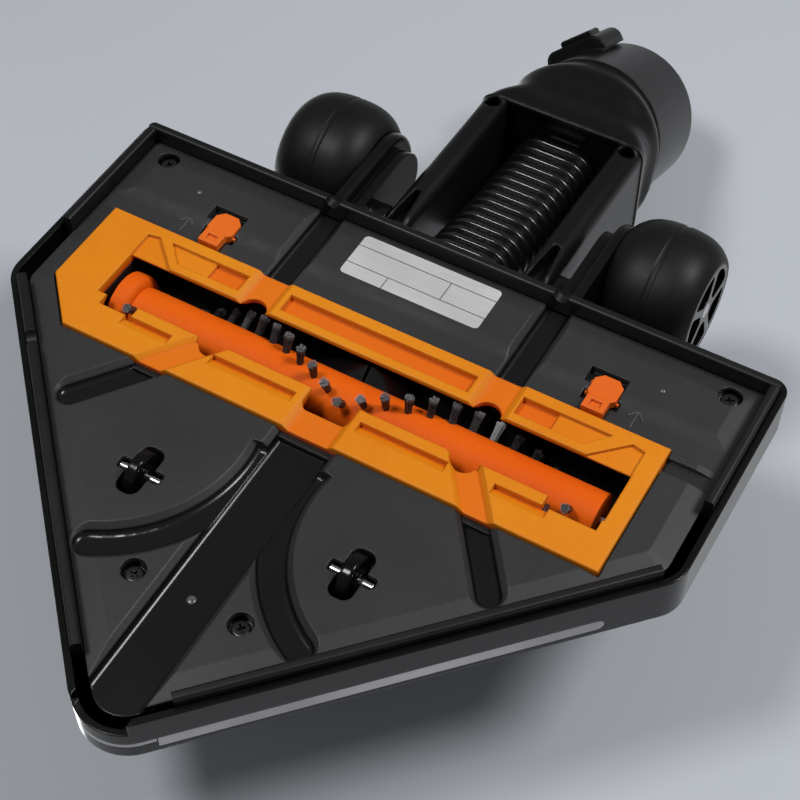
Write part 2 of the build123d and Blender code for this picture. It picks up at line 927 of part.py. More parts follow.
def make_latch():
    half_x, half_y, cut = latch_width / 2, latch_length / 2, latch_corner
    face = polygon(
        (-half_x + cut, half_y), (half_x - cut, half_y), (half_x, half_y - cut), (half_x, -half_y + cut),
        (half_x - cut, -half_y), (-half_x + cut, -half_y), (-half_x, -half_y + cut), (-half_x, half_y - cut),
    )
    low = sole_z - latch_proud
    high = low + latch_height
    latch = prism(face, low, high)
    wing = half_x + latch_wing - latch_gap
    latch += block((-wing, -half_y + cut, high - latch_wing_height), (wing, half_y - cut, high))
    tip = cover_rear + cover_gap + tongue_gap - latch_y
    tab_low = low - tongue_height
    root = tongue_overlap - half_y
    tab = block((-tongue_width / 2, tip, tab_low), (tongue_width / 2, root, high - latch_wing_height))
    wide, deep, sunk = tongue_recess
    middle = (tip + root) / 2
    tab -= Pos(0, middle, tab_low) * Box(wide, deep, 2 * sunk)
    latch += tab
    return Pos(latch_x, latch_y, 0) * latch


# Wheels

def make_front_wheel():
    tread = front_tread_width / 2
    half = front_wheel_width / 2
    place = Pos(front_wheel_x, front_wheel_y, front_wheel_radius)
    wheel = Rot(0, 90, 0) * Cylinder(front_wheel_radius, 2 * tread)
    wheel = fillet(wheel.edges().filter_by(GeomType.CIRCLE), front_tread_round)
    wheel += Rot(0, 90, 0) * Cylinder(front_hub_radius, 2 * half)
    return place * (wheel - Rot(0, 90, 0) * Cylinder(front_axle_radius + run_gap, 4 * half))


def make_front_axle():
    axle = Rot(0, 90, 0) * Cylinder(front_axle_radius, front_axle_length)
    axle = chamfer(axle.edges().filter_by(GeomType.CIRCLE), axle_chamfer)
    return Pos(front_wheel_x, front_wheel_y, front_wheel_radius) * axle


def wheel_place():
    return Pos(rear_wheel_x, rear_wheel_y, rear_wheel_radius)


def make_rear_tyre():
    half = rear_wheel_width / 2
    shoulder = shoulder_share * half
    tread = [
        (-half, rear_edge_radius),
        (-shoulder, rear_wheel_radius - shoulder_drop),
        (0, rear_wheel_radius),
        (shoulder, rear_wheel_radius - shoulder_drop),
        (half, rear_edge_radius),
    ]
    sides = Polyline(tread[-1], (half, hub_radius), (-half, hub_radius), tread[0])
    tyre = revolve(make_face([Spline(*tread), sides]), Axis.X)
    crease = Pos(0, rear_wheel_radius + crease_round - crease_drop) * Circle(crease_round)
    return wheel_place() * (tyre - revolve(crease, Axis.X))


def hub_windows(radius):
    ring = Circle(radius - hub_rim) - Circle(hub_boss_radius)
    for spoke in range(hub_spokes):
        ring -= Rot(0, 0, 360 / hub_spokes * spoke) * Pos(radius / 2, 0) * Rectangle(radius, spoke_width)
    return fillet(ring.vertices(), window_round)


def make_rear_hub():
    half = rear_wheel_width / 2
    radius = hub_radius - seat_gap
    hub = Rot(0, 90, 0) * Cylinder(radius, rear_wheel_width)
    ring = Circle(radius - hub_rim) - Circle(hub_boss_radius)
    hub -= extrude(Plane.YZ.offset(-half + hub_face) * ring, amount=rear_wheel_width - 2 * hub_face)
    hub -= extrude(Plane.YZ.offset(half - 2 * hub_face) * hub_windows(radius), amount=3 * hub_face)
    hub -= Rot(0, 90, 0) * Cylinder(rear_axle_radius + run_gap, 2 * rear_wheel_width)
    return wheel_place() * hub


def arm_face(radius):
    reach = rear_wheel_y - head_rear
    bar = Pos(head_rear + reach / 2, rear_wheel_radius) * Rectangle(reach, 2 * radius)
    return bar + Pos(rear_wheel_y, rear_wheel_radius) * Circle(radius)


def make_wheel_arm():
    outer = rear_wheel_x - rear_wheel_width / 2 - guard_gap
    guard = side_prism(arm_face(guard_radius), outer - guard_thick, outer)
    guard = fillet(guard.edges().filter_by(GeomType.CIRCLE).sort_by(Axis.X)[0], guard_thick / 2)
    step_low = outer - guard_thick - step_thick
    arm = guard + side_prism(arm_face(step_radius), step_low, outer - guard_thick)
    arm += rod_x(pivot_boss_radius, rail_outer + body_gap, step_low, pivot_y, pivot_z)
    axle_low = step_low + step_thick / 2
    arm -= rod_x(rear_axle_radius + seat_gap, axle_low, outer + overcut, rear_wheel_y, rear_wheel_radius)
    return arm - rod_x(pivot_pin_radius + seat_gap, 0, outer - guard_thick, pivot_y, pivot_z)


def make_rear_axle():
    low = rear_wheel_x - rear_wheel_width / 2 - guard_gap - guard_thick - step_thick / 2
    return rod_x(rear_axle_radius, low, rear_wheel_x + rear_wheel_width / 2, rear_wheel_y, rear_wheel_radius)


def make_pivot_pin():
    high = rear_wheel_x - rear_wheel_width / 2 - guard_gap - guard_thick
    return rod_x(pivot_pin_radius, rail_inner + pin_inset, high, pivot_y, pivot_z)


# Neck yoke: two rails and a web that run into a funnel round the collar

def between(first, last, share):
    return first + share * (last - first)


def funnel_section(share, half_width, half_height, radius):
    # A section between the open end of the yoke and the seam, turned by its share of the collar's lean.
    middle = (neck_low + neck_high) / 2
    turn = radians(lean * share)
    place = (0, between(neck_end_y, seam_y, share), between(middle, seam_z, share))
    plane = Plane(place, (1, 0, 0), (0, cos(turn), sin(turn)))
    return plane * RectangleRounded(2 * half_width, 2 * half_height, radius)


def ring_section(distance, radius):
    # Round but for a sliver of straight side, so that it has as many edges as the other sections.
    return collar_axis.offset(distance) * RectangleRounded(2 * radius, 2 * radius, radius * round_share)


def neck_top(y):
    reach = neck_end_y - pivot_y
    rise = neck_high - pivot_z
    slope = atan2(rise, reach) - asin(knuckle_radius / hypot(reach, rise))
    return neck_high - tan(slope) * (neck_end_y - y)


def make_rail():
    edges = [*(Pos(pivot_y, pivot_z) * Circle(knuckle_radius)).edges()]
    edges.append(Line((neck_end_y, neck_low), (neck_end_y, neck_high)))
    rail = side_prism(make_hull(edges), rail_inner, rail_outer)
    outer = rail.edges().filter_by_position(Axis.X, rail_outer - seat_gap, rail_outer + seat_gap)
    rail = fillet(outer.sort_by(Axis.Y)[:-1], rail_round)
    inner = rail.edges().filter_by_position(Axis.X, rail_inner - seat_gap, rail_inner + seat_gap)
    return fillet(inner.sort_by(Axis.Z)[0], rail_inner_round)


def make_web():
    outline = polygon(
        (web_start_y, neck_top(web_start_y) - web_thick),
        (web_start_y, neck_top(web_start_y)),
        (neck_end_y, neck_high),
        (neck_end_y, neck_high - web_thick),
    )
    return side_prism(outline, -rail_inner, rail_inner)


def make_funnel():
    # From the open end of the yoke, in at a waist and out over a dome to the round seat of the collar.
    tall = (neck_high - neck_low) / 2
    sections = []
    for share, dip in funnel_dips:
        half_width = between(rail_outer + funnel_step, seam_radius, share) - dip
        half_height = between(tall + funnel_step, seam_radius, share) - dip
        radius = between(rail_round + funnel_step, seam_radius * round_share, share) - dip
        sections.append(funnel_section(share, half_width, half_height, radius))
    solid = loft(sections + [ring_section(0, seam_radius)])
    inner_head = funnel_section(0, rail_outer - web_thick, tall - web_thick, rail_round - web_thick)
    hollow = loft([inner_head, ring_section(-seat_length, ring_radius + ring_gap)], ruled=True)
    seat = collar_axis * (Pos(0, 0, -seat_length / 2) * Cylinder(spigot_radius + body_gap, 2 * seat_length))

    # The wall that holds the end of the hose
    plate = block((-rail_outer, bulkhead_y, 0), (rail_outer, bulkhead_y + bulkhead_thick, 2 * neck_high))
    plate = (plate & solid) - hose_form(hose_valley - seat_gap)
    return solid - hollow - seat + plate


def make_neck():
    neck = make_funnel()
    rail = make_rail()
    neck += rail
    neck += make_web()
    neck += other_side(rail)

    # Pockets in the underside of the rails, then the pivot holes
    pocket_x = (rail_inner + rail_outer) / 2
    for side in (1, -1):
        neck -= rod_z(pocket_radius, side * pocket_x, pocket_y, 0, neck_low + pocket_reach)
        wide = Pos(side * pocket_x, pivot_y - knuckle_radius) * Circle(arch_wide)
        narrow = Pos(side * pocket_x, pivot_y - knuckle_radius + arch_length) * Circle(arch_narrow)
        arch = make_hull([*wide.edges(), *narrow.edges()])
        neck -= prism(arch, 0, pivot_z - knuckle_radius + arch_depth)
    return neck - rod_x(pivot_pin_radius + run_gap, -head_half, head_half, pivot_y, pivot_z)


# Corrugated hose along its own sloping axis

def hose_plane():
    rise = atan2(hose_end[1] - hose_start[1], hose_end[0] - hose_start[0])
    return Plane((0, *hose_start), (1, 0, 0), (0, cos(rise), sin(rise)))


def hose_length():
    return hypot(hose_end[0] - hose_start[0], hose_end[1] - hose_start[1])


def hose_form(inset, low=0.0, high=None):
    top = hose_length() if high is None else high
    face = RectangleRounded(hose_width - 2 * inset, hose_height - 2 * inset, hose_radius - inset)
    return hose_plane() * extrude(Pos(0, 0, low) * face, amount=top - low)


def make_hose():
    hose = hose_form(hose_valley)
    rise = atan2(hose_end[1] - hose_start[1], hose_end[0] - hose_start[0])
    far_cuff = (hose_end[0] - bulkhead_y) / cos(rise) + hose_height / 2 * tan(rise) + body_gap
    pitch = (hose_length() - hose_cuff - far_cuff) / hose_rings
    for ring in range(hose_rings):
        low = hose_cuff + ring * pitch
        hose += hose_form(0, low, low + pitch * hose_ridge_share)
    hose += hose_form(0, 0, hose_seat_length)
    return hose - hose_form(hose_valley + hose_wall, -overcut, hose_length() + overcut)


def make_hose_cuff():
    # Sleeve through the rear wall, from the duct of the tunnel to the hose.
    middle = hose_start[1]
    plane = Plane((0, duct_end_y + seat_gap, middle), (1, 0, 0), (0, 1, 0))
    length = 2 * (hose_start[0] - duct_end_y)
    sleeve = extrude(plane * duct_section(0), amount=length)
    sleeve -= extrude(plane * duct_section(tunnel_wall), amount=length)
    return sleeve - hose_plane() * (Pos(0, 0, length / 2 - seat_gap) * Box(head_width, head_width, length))


# Swivel collar with its release button and contacts

def make_collar():
    start = -spigot_length
    outline = polygon(
        (bore_radius, start),
        (spigot_radius, start),
        (spigot_radius, body_gap),
        (seam_radius, body_gap),
        (collar_radius, collar_length),
        (collar_radius - collar_wall, collar_length),
        (collar_radius - collar_wall, collar_floor),
        (spigot_radius, collar_floor),
        (spigot_radius, start + bore_length),
        (bore_radius, start + bore_length),
    )
    collar = revolve(Plane.XZ * outline, Axis.Z)
    root = collar_radius - collar_wall / 2
    half = housing_width / 2
    housing = block((-half, -housing_reach, housing_start), (half, -root, housing_stop))
    housing = fillet(housing.edges().filter_by(Axis.Z).sort_by(Axis.Y)[:2], housing_round)
    housing -= Pos(0, 0, collar_length / 2) * Cylinder(root, collar_length)
    collar += housing
    collar -= button_form(latch_gap, button_reach + overcut, housing_reach - button_depth)
    return collar_frame * collar


def button_form(gap, reach, root):
    middle = (housing_start + housing_stop) / 2
    half_x, half_z = button_width / 2 + gap, button_length / 2 + gap
    return block((-half_x, -reach, middle - half_z), (half_x, -root, middle + half_z))


def make_button():
    button = button_form(0, button_reach, housing_reach - button_depth + button_travel + latch_gap)
    return collar_frame * chamfer(button.edges().group_by(Axis.Y)[0], button_chamfer)


def make_contact_block():
    # Stands on the inner tube, in the space between it and the outer wall.
    half = contact_width / 2
    low = spigot_radius + seat_gap
    start = collar_floor + seat_gap
    form = block((-half, -low - contact_height, start), (half, -low, start + contact_length))
    for side in (1, -1):
        form -= contact_pin(side, contact_radius + seat_gap)
    return collar_frame * form


def contact_pin(side, radius):
    height = spigot_radius + contact_height / 2
    top = collar_floor + contact_length + contact_reach
    middle = top - (contact_root + contact_reach) / 2
    return Pos(side * contact_spread / 2, -height, middle) * Cylinder(radius, contact_root + contact_reach)


def make_contact_pins():
    return group([collar_frame * contact_pin(side, contact_radius) for side in (1, -1)])


def make_swivel_ring():
    low = -spigot_length
    ring = Cylinder(ring_radius, ring_thick) - Cylinder(spigot_radius + seat_gap, 2 * ring_thick)
    return collar_frame * (Pos(0, 0, low + ring_thick / 2) * ring)


# Drive: motor, bracket, pulleys and belt

def make_motor():
    body = rod_x(motor_radius, motor_right, motor_left, motor_y, motor_z)
    body = fillet(body.edges().filter_by(GeomType.CIRCLE), motor_round)
    hole_low = motor_left - motor_shaft_root - body_gap
    return body - rod_x(motor_shaft_radius + run_gap, hole_low, motor_left + overcut, motor_y, motor_z)


def make_motor_bracket():
    # Plate on the shaft side with a saddle foot on the sole.
    low_x = motor_left + seat_gap
    half = motor_radius + bracket_rim
    plate = block((low_x, motor_y - half, sole_top), (low_x + bracket_thick, motor_y + half, motor_z))
    plate += rod_x(half, low_x, low_x + bracket_thick, motor_y, motor_z)
    return plate - rod_x(2 * motor_shaft_radius, low_x - overcut, low_x + 2 * bracket_thick, motor_y, motor_z)


def pulley(radius, y, z, bore):
    low = belt_x - pulley_half
    high = belt_x + pulley_half
    form = rod_x(radius, low, high, y, z)
    for flange_low in (low, high - pulley_flange):
        form += rod_x(radius + belt_thick, flange_low, flange_low + pulley_flange, y, z)
    return form - rod_x(bore, low - overcut, high + overcut, y, z)


def make_roller_pulley():
    return pulley(roller_pulley_radius, roller_y, roller_z, axle_radius + seat_gap)


def make_motor_pulley():
    return pulley(motor_pulley_radius, motor_y, motor_z, motor_shaft_radius + seat_gap)


def make_motor_shaft():
    low = motor_left - motor_shaft_root
    return rod_x(motor_shaft_radius, low, belt_x + pulley_half + shaft_tail, motor_y, motor_z)


def belt_face(extra):
    edges = []
    for y, z, radius in ((roller_y, roller_z, roller_pulley_radius), (motor_y, motor_z, motor_pulley_radius)):
        edges += (Pos(y, z) * Circle(radius + belt_gap + extra)).edges()
    return make_hull(edges)


def make_belt():
    half = belt_width / 2 - belt_gap
    loop = side_prism(belt_face(belt_thick - 2 * belt_gap), belt_x - half, belt_x + half)
    return loop - side_prism(belt_face(0), belt_x - belt_width, belt_x + belt_width)


def make_nodes():
    nodes = {
        "top_shell": make_top_shell(),
        "sole_plate": make_sole_plate(),
        "sole_screws": make_sole_screws(),
        "rear_lip": make_rear_lip(),
        "front_lip_left": make_front_lip() - front_lip_notch(),
        "front_lip_right": other_side(make_front_lip()),
        "tip_trim": make_tip_trim(),
        "brush_tunnel": make_tunnel(),
        "roller_core": make_roller_core(),
        "roller_tufts": make_tufts(),
        "roller_blades": make_blades(),
        "roller_axle": make_roller_axle(),
        "roller_pulley": make_roller_pulley(),
        "bearing_left": make_bearing(1),
        "bearing_right": make_bearing(-1),
        "brush_cover": make_cover(),
        "drive_motor": make_motor(),
        "motor_bracket": make_motor_bracket(),
        "motor_shaft": make_motor_shaft(),
        "motor_pulley": make_motor_pulley(),
        "drive_belt": make_belt(),
        "neck_yoke": make_neck(),
        "flex_hose": make_hose(),
        "hose_cuff": make_hose_cuff(),
        "swivel_collar": make_collar(),
        "swivel_ring": make_swivel_ring(),
        "release_button": make_button(),
        "contact_block": make_contact_block(),
        "contact_pins": make_contact_pins(),
    }
    pairs = {
        "side_lip": make_side_lip(),
        "light_lens": make_lens(),
        "led_board": make_led_board(),
        "front_wheel": make_front_wheel(),
        "front_axle": make_front_axle(),
        "rear_tyre": make_rear_tyre(),
        "rear_hub": make_rear_hub(),
        "rear_axle": make_rear_axle(),
        "wheel_arm": make_wheel_arm(),
        "pivot_pin": make_pivot_pin(),
        "cover_latch": make_latch(),
    }
    for name, shape in pairs.items():
        nodes[name + "_left"] = shape
        nodes[name + "_right"] = other_side(shape)
    return nodes


def main():
    os.makedirs("parts", exist_ok=True)
    for name, shape in make_nodes().items():
        export_step(Pos(0, -mid_y, 0) * shape, os.path.join("parts", name + ".step"))


if __name__ == "__main__":
    main()
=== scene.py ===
import bpy
import json
import math
import random
from mathutils import Matrix, Vector


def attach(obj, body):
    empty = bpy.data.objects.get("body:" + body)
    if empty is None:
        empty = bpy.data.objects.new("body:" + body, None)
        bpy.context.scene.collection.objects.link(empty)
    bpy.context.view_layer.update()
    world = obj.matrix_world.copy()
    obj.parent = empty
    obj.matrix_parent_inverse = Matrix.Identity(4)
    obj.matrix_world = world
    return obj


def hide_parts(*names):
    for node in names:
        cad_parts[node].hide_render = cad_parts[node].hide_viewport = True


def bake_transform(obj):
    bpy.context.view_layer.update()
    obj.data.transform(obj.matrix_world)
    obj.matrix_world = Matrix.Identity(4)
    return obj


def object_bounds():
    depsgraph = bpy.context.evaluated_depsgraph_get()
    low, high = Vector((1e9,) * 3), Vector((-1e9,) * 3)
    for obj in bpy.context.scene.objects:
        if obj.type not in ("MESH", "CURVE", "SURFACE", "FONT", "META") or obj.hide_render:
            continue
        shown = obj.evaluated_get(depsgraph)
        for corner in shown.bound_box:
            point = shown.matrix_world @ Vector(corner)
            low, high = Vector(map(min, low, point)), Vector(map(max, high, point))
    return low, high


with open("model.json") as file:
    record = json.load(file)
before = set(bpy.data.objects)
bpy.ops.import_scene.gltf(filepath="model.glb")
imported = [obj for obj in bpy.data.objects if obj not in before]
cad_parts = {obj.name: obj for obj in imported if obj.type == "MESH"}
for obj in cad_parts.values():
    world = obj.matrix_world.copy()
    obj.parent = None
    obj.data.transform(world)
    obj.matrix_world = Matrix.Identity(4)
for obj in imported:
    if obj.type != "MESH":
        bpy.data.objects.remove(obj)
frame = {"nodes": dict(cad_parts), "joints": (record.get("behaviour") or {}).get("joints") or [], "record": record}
cadBox = [list(corner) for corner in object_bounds()]
nodes = frame["nodes"]
joints = {joint["name"]: joint for joint in frame["joints"]}
random.seed(41)
mm = 0.001
print("frame loaded:", len(nodes), "nodes")


# small helpers for modelling by hand

def clearSelection():
    if bpy.context.object and bpy.context.object.mode != "OBJECT":
        bpy.ops.object.mode_set(mode="OBJECT")
    bpy.ops.object.select_all(action="DESELECT")


def pickOnly(piece):
    clearSelection()
    bpy.context.view_layer.objects.active = piece
    piece.select_set(True)


def seat(piece):
    # puts the place, turn and size into the mesh
    pickOnly(piece)
    bpy.ops.object.transform_apply(location=True, rotation=True, scale=True)


def pickFaces(piece, test):
    bpy.ops.object.mode_set(mode="EDIT")
    bpy.ops.mesh.select_mode(type="FACE")
    bpy.ops.mesh.select_all(action="DESELECT")
    bpy.ops.object.mode_set(mode="OBJECT")
    for face in piece.data.polygons:
        face.select = bool(test(face))
    bpy.ops.object.mode_set(mode="EDIT")


def applyAll(piece):
    pickOnly(piece)
    for modifier in list(piece.modifiers):
        bpy.ops.object.modifier_apply(modifier=modifier.name)


def outward(piece):
    pickOnly(piece)
    bpy.ops.object.mode_set(mode="EDIT")
    bpy.ops.mesh.select_all(action="SELECT")
    bpy.ops.mesh.remove_doubles(threshold=0.00001)
    bpy.ops.mesh.normals_make_consistent(inside=False)
    bpy.ops.object.mode_set(mode="OBJECT")


def softShade(piece, angle=35):
    pickOnly(piece)
    bpy.ops.object.shade_smooth_by_angle(angle=math.radians(angle))


def copyOf(piece, place):
    twin = piece.copy()
    twin.data = piece.data.copy()
    twin.data.transform(place)
    bpy.context.collection.objects.link(twin)
    return twin


def joinAll(pieces, name):
    clearSelection()
    for piece in pieces:
        piece.select_set(True)
    bpy.context.view_layer.objects.active = pieces[0]
    bpy.ops.object.join()
    pieces[0].name = name
    pieces[0].data.name = name
    return pieces[0]


def wear(piece, material):
    piece.data.materials.clear()
    piece.data.materials.append(material)


# shader helpers

def tone(red, green, blue):
    def one(value):
        value = value / 255
        return value / 12.92 if value < 0.04045 else ((value + 0.055) / 1.055) ** 2.4
    return (one(red), one(green), one(blue), 1)


class Wire:
    def __init__(self, tree, socket):
        self.tree = tree
        self.socket = socket

    def maths(self, operation, other, flip=False):
        node = self.tree.nodes.new("ShaderNodeMath")
        node.operation = operation
        pair = (other, self) if flip else (self, other)
        for index, value in enumerate(pair):
            if isinstance(value, Wire):
                self.tree.links.new(value.socket, node.inputs[index])
            else:
                node.inputs[index].default_value = value
        return Wire(self.tree, node.outputs[0])

    def __add__(self, other):
        return self.maths("ADD", other)

    def __radd__(self, other):
        return self.maths("ADD", other, True)

    def __sub__(self, other):
        return self.maths("SUBTRACT", other)

    def __mul__(self, other):
        return self.maths("MULTIPLY", other)

    def __truediv__(self, other):
        return self.maths("DIVIDE", other)

    def __lt__(self, other):
        return self.maths("LESS_THAN", other)

    def __gt__(self, other):
        return self.maths("GREATER_THAN", other)


class Finish:
    def __init__(self, name):
        self.material = bpy.data.materials.new(name)
        self.material.use_nodes = True
        self.tree = self.material.node_tree
        self.tree.nodes.clear()
        self.output = self.tree.nodes.new("ShaderNodeOutputMaterial")
        self.shader = self.tree.nodes.new("ShaderNodeBsdfPrincipled")
        self.tree.links.new(self.shader.outputs[0], self.output.inputs["Surface"])
        self.place = self.node("ShaderNodeTexCoord", out="Object")

    def node(self, kind, settings=None, sockets=None, out=0):
        node = self.tree.nodes.new(kind)
        for key, value in (settings or {}).items():
            setattr(node, key, value)
        for key, value in (sockets or {}).items():
            if isinstance(value, Wire):
                self.tree.links.new(value.socket, node.inputs[key])
            else:
                node.inputs[key].default_value = value
        return Wire(self.tree, node.outputs[out])

    def put(self, **sockets):
        for key, value in sockets.items():
            name = key[0].upper() + "".join(" " + c if c.isupper() else c for c in key[1:])
            if isinstance(value, Wire):
                self.tree.links.new(value.socket, self.shader.inputs[name])
            else:
                self.shader.inputs[name].default_value = value

    def noise(self, scale, detail, rough, place=None):
        return self.node("ShaderNodeTexNoise", None, {
            "Vector": place or self.place, "Scale": scale, "Detail": detail, "Roughness": rough})

    def axis(self, letter):
        return self.node("ShaderNodeSeparateXYZ", None, {"Vector": self.place}, out="XYZ".index(letter))

    def stretch(self, x, y, z):
        return self.node("ShaderNodeMapping", None, {"Vector": self.place, "Scale": (x, y, z)})

    def step(self, value, low, high):
        return self.node("ShaderNodeMapRange", {"clamp": True}, {
            "Value": value, "From Min": low, "From Max": high, "To Min": 0.0, "To Max": 1.0})

    def mix(self, share, first, second):
        return self.node("ShaderNodeMix", {"data_type": "RGBA"}, {0: share, 6: first, 7: second}, out=2)

    def relief(self, height, strength, distance, edge=0.0):
        sockets = {"Height": height, "Strength": strength, "Distance": distance}
        if edge:
            sockets["Normal"] = self.node("ShaderNodeBevel", {"samples": 4}, {"Radius": edge})
        self.put(normal=self.node("ShaderNodeBump", None, sockets))


# how cloud, specks and grain share in every moulded finish
mouldedMix = {"cloudScale": 18, "speckScale": 0.23, "cloud": 0.65, "speck": 0.35, "low": 0.32, "high": 0.68,
              "cloudGloss": 0.12, "grainGloss": 0.1, "grainDepth": 0.00012, "edge": 0.0004,
              "coatRough": 0.12}


def moulded(name, look):
    # moulded plastic or rubber: broad cloudiness in the colour, a fine grain in gloss and relief, and, where a
    # look asks for it, painted shade in recesses
    finish = Finish(name)
    mixing = mouldedMix
    cloud = finish.noise(look.get("cloud", mixing["cloudScale"]), 4, 0.6)
    grain = finish.noise(look["grain"], 3, 0.6)
    speck = finish.noise(look["grain"] * mixing["speckScale"], 4, 0.7)
    share = finish.step(cloud * mixing["cloud"] + speck * mixing["speck"], mixing["low"], mixing["high"])
    colour = finish.mix(share, look["dark"], look["light"])
    rough = look["rough"] + (cloud - 0.5) * mixing["cloudGloss"] + (grain - 0.5) * mixing["grainGloss"]
    if "deep" in look:
        # painted shade: what lies above this height is a recess, seen from below, and gets the darker recess tone
        # as shade
        recess = finish.step(finish.axis("Z"), look["deepFrom"], look["deepTo"])
        colour = finish.mix(recess, colour, look["deep"])
        rough = rough + recess * look.get("deepRough", 0.0)
    finish.put(baseColor=colour, roughness=rough)
    finish.put(coatWeight=look.get("coat", 0.0), coatRoughness=look.get("coatRough", mixing["coatRough"]))
    finish.shader.inputs["Specular IOR Level"].default_value = look.get("shine", 0.5)
    finish.relief(grain, look["bump"], mixing["grainDepth"], look.get("edge", mixing["edge"]))
    return finish.material


def turnedSteel(name, look):
    # bright steel with fine turning lines round an axle along X
    finish = Finish(name)
    lines = finish.noise(1.0, 3, 0.6, finish.stretch(5200, 260, 260))
    stain = finish.noise(160, 3, 0.5)
    finish.put(baseColor=finish.mix(finish.step(stain, 0.35, 0.7), look["dark"], look["light"]))
    finish.put(metallic=1.0, roughness=look["rough"] + (lines - 0.5) * 0.22)
    finish.relief(lines, 0.18, 0.00008, 0.0002)
    return finish.material


def ribbedLens(name, look):
    # milky lens with fine upright ribs inside it
    finish = Finish(name)
    along = finish.axis("X") * 0.7 + finish.axis("Y") * 0.7
    ribs = finish.node("ShaderNodeMath", {"operation": "SINE"}, {0: along * look["ribs"]})
    cloud = finish.noise(40, 3, 0.5)
    share = finish.step(ribs * 0.3 + cloud, 0.2, 0.9)
    finish.put(baseColor=finish.mix(share, look["dark"], look["light"]))
    finish.put(roughness=0.24 + (cloud - 0.5) * 0.1, coatWeight=0.4, coatRoughness=0.08)
    finish.relief(ribs, 0.15, 0.0001, 0.0003)
    return finish.material


def bristleNylon(name, look):
    # dark nylon, paler at the cut ends where the light catches it
    finish = Finish(name)
    grain = finish.noise(look["grain"], 3, 0.6)
    strand = finish.noise(1.0, 2, 0.5, finish.stretch(3600, 900, 900))
    axis = joints["brush_spin"]["pos_m"]
    across = finish.axis("Y") - axis[1]
    down = finish.axis("Z") - axis[2]
    reach = finish.node("ShaderNodeMath", {"operation": "SQRT"}, {0: across * across + down * down})
    body = finish.mix(finish.step(strand, 0.35, 0.65), look["dark"], look["light"])
    cutEnd = finish.step(reach, look["paleFrom"], look["paleTo"])
    finish.put(baseColor=finish.mix(cutEnd, body, look["pale"]))
    finish.put(roughness=look["rough"] + (grain - 0.5) * 0.1)
    finish.relief(grain, 0.15, 0.0001)
    return finish.material


def circuitBoard(name, look):
    finish = Finish(name)
    along = finish.axis("X") * 0.7 + finish.axis("Y") * 0.7
    tracks = finish.node("ShaderNodeMath", {"operation": "SINE"}, {0: along * look["pitch"]})
    cloud = finish.noise(90, 3, 0.5)
    pads = finish.step(tracks + (cloud - 0.5) * 0.3, 0.9, 0.95)
    finish.put(baseColor=finish.mix(pads, look["board"], look["pad"]), roughness=0.4 + (cloud - 0.5) * 0.2)
    finish.relief(tracks, 0.1, 0.0001)
    return finish.material


soleZ = 0.006
slotLooks = {
    "shell_black": {"dark": tone(8, 8, 9), "light": tone(13, 13, 14), "rough": 0.2, "grain": 3200,
                    "bump": 0.04, "edge": 0.0009, "shine": 0.32},
    # sole_grey: the deep tone is painted shade, colouring the sole's grooves and recesses darker
    "sole_grey": {"dark": tone(40, 40, 41), "light": tone(49, 49, 50), "rough": 0.42, "grain": 2400,
                  "bump": 0.04, "deep": tone(14, 14, 15), "deepFrom": soleZ + 0.0016,
                  "deepTo": soleZ + 0.0026, "deepRough": -0.2, "edge": 0.0008, "shine": 0.4},
    "duct_grey": {"dark": tone(22, 22, 23), "light": tone(30, 30, 31), "rough": 0.34, "grain": 2000,
                  "bump": 0.1},
    "lip_rubber": {"dark": tone(12, 12, 13), "light": tone(19, 19, 20), "rough": 0.42,
                   "grain": 1800, "bump": 0.2, "edge": 0.0003, "shine": 0.35},
    # cover_orange: the deep tone is painted shade, turning the cover's pockets and recesses a deeper red
    "cover_orange": {"dark": tone(211, 118, 11), "light": tone(218, 134, 18), "rough": 0.46,
                     "grain": 2600, "bump": 0.05, "deep": tone(212, 82, 8), "deepFrom": 0.0056,
                     "deepTo": 0.0080, "edge": 0.0009, "shine": 0.25},
    "core_orange": {"dark": tone(216, 84, 8), "light": tone(224, 98, 12), "rough": 0.6,
                    "grain": 1800, "bump": 0.06, "shine": 0.12},
    "blade_rubber": {"dark": tone(10, 10, 11), "light": tone(17, 17, 18), "rough": 0.22,
                     "grain": 1800, "bump": 0.12, "coat": 0.3, "edge": 0.0003},
    "tyre_rubber": {"dark": tone(9, 9, 9), "light": tone(16, 16, 16), "rough": 0.48, "grain": 1500,
                    "bump": 0.2, "cloud": 60, "edge": 0.0, "shine": 0.25},
    "hub_black": {"dark": tone(8, 8, 9), "light": tone(13, 13, 14), "rough": 0.16, "grain": 3000,
                  "bump": 0.04, "coat": 0.1, "edge": 0.0005, "shine": 0.2},
    "neck_black": {"dark": tone(11, 11, 12), "light": tone(18, 18, 19), "rough": 0.3, "grain": 3000,
                   "bump": 0.1, "edge": 0.0022, "shine": 0.25},
    "hose_black": {"dark": tone(10, 10, 11), "light": tone(17, 17, 18), "rough": 0.24,
                   "grain": 2200, "bump": 0.1, "coat": 0.3, "coatRough": 0.1, "edge": 0.0},
    "motor_grey": {"dark": tone(120, 121, 123), "light": tone(150, 151, 152), "rough": 0.4,
                   "grain": 1500, "bump": 0.1},
    "pulley_pale": {"dark": tone(196, 193, 182), "light": tone(215, 212, 202), "rough": 0.45,
                    "grain": 1500, "bump": 0.1},
    "belt_rubber": {"dark": tone(18, 18, 18), "light": tone(28, 28, 28), "rough": 0.6,
                    "grain": 1300, "bump": 0.3},
    "bush_pale": {"dark": tone(200, 198, 188), "light": tone(218, 216, 208), "rough": 0.4,
                  "grain": 1500, "bump": 0.1},
    "trim_silver": {"dark": tone(156, 157, 160), "light": tone(186, 187, 189), "rough": 0.3,
                    "grain": 3400, "bump": 0.06, "coat": 0.3},
    "screw_dark": {"dark": tone(16, 16, 17), "light": tone(30, 30, 31), "rough": 0.3, "grain": 2600,
                   "bump": 0.15, "edge": 0.0002},
}
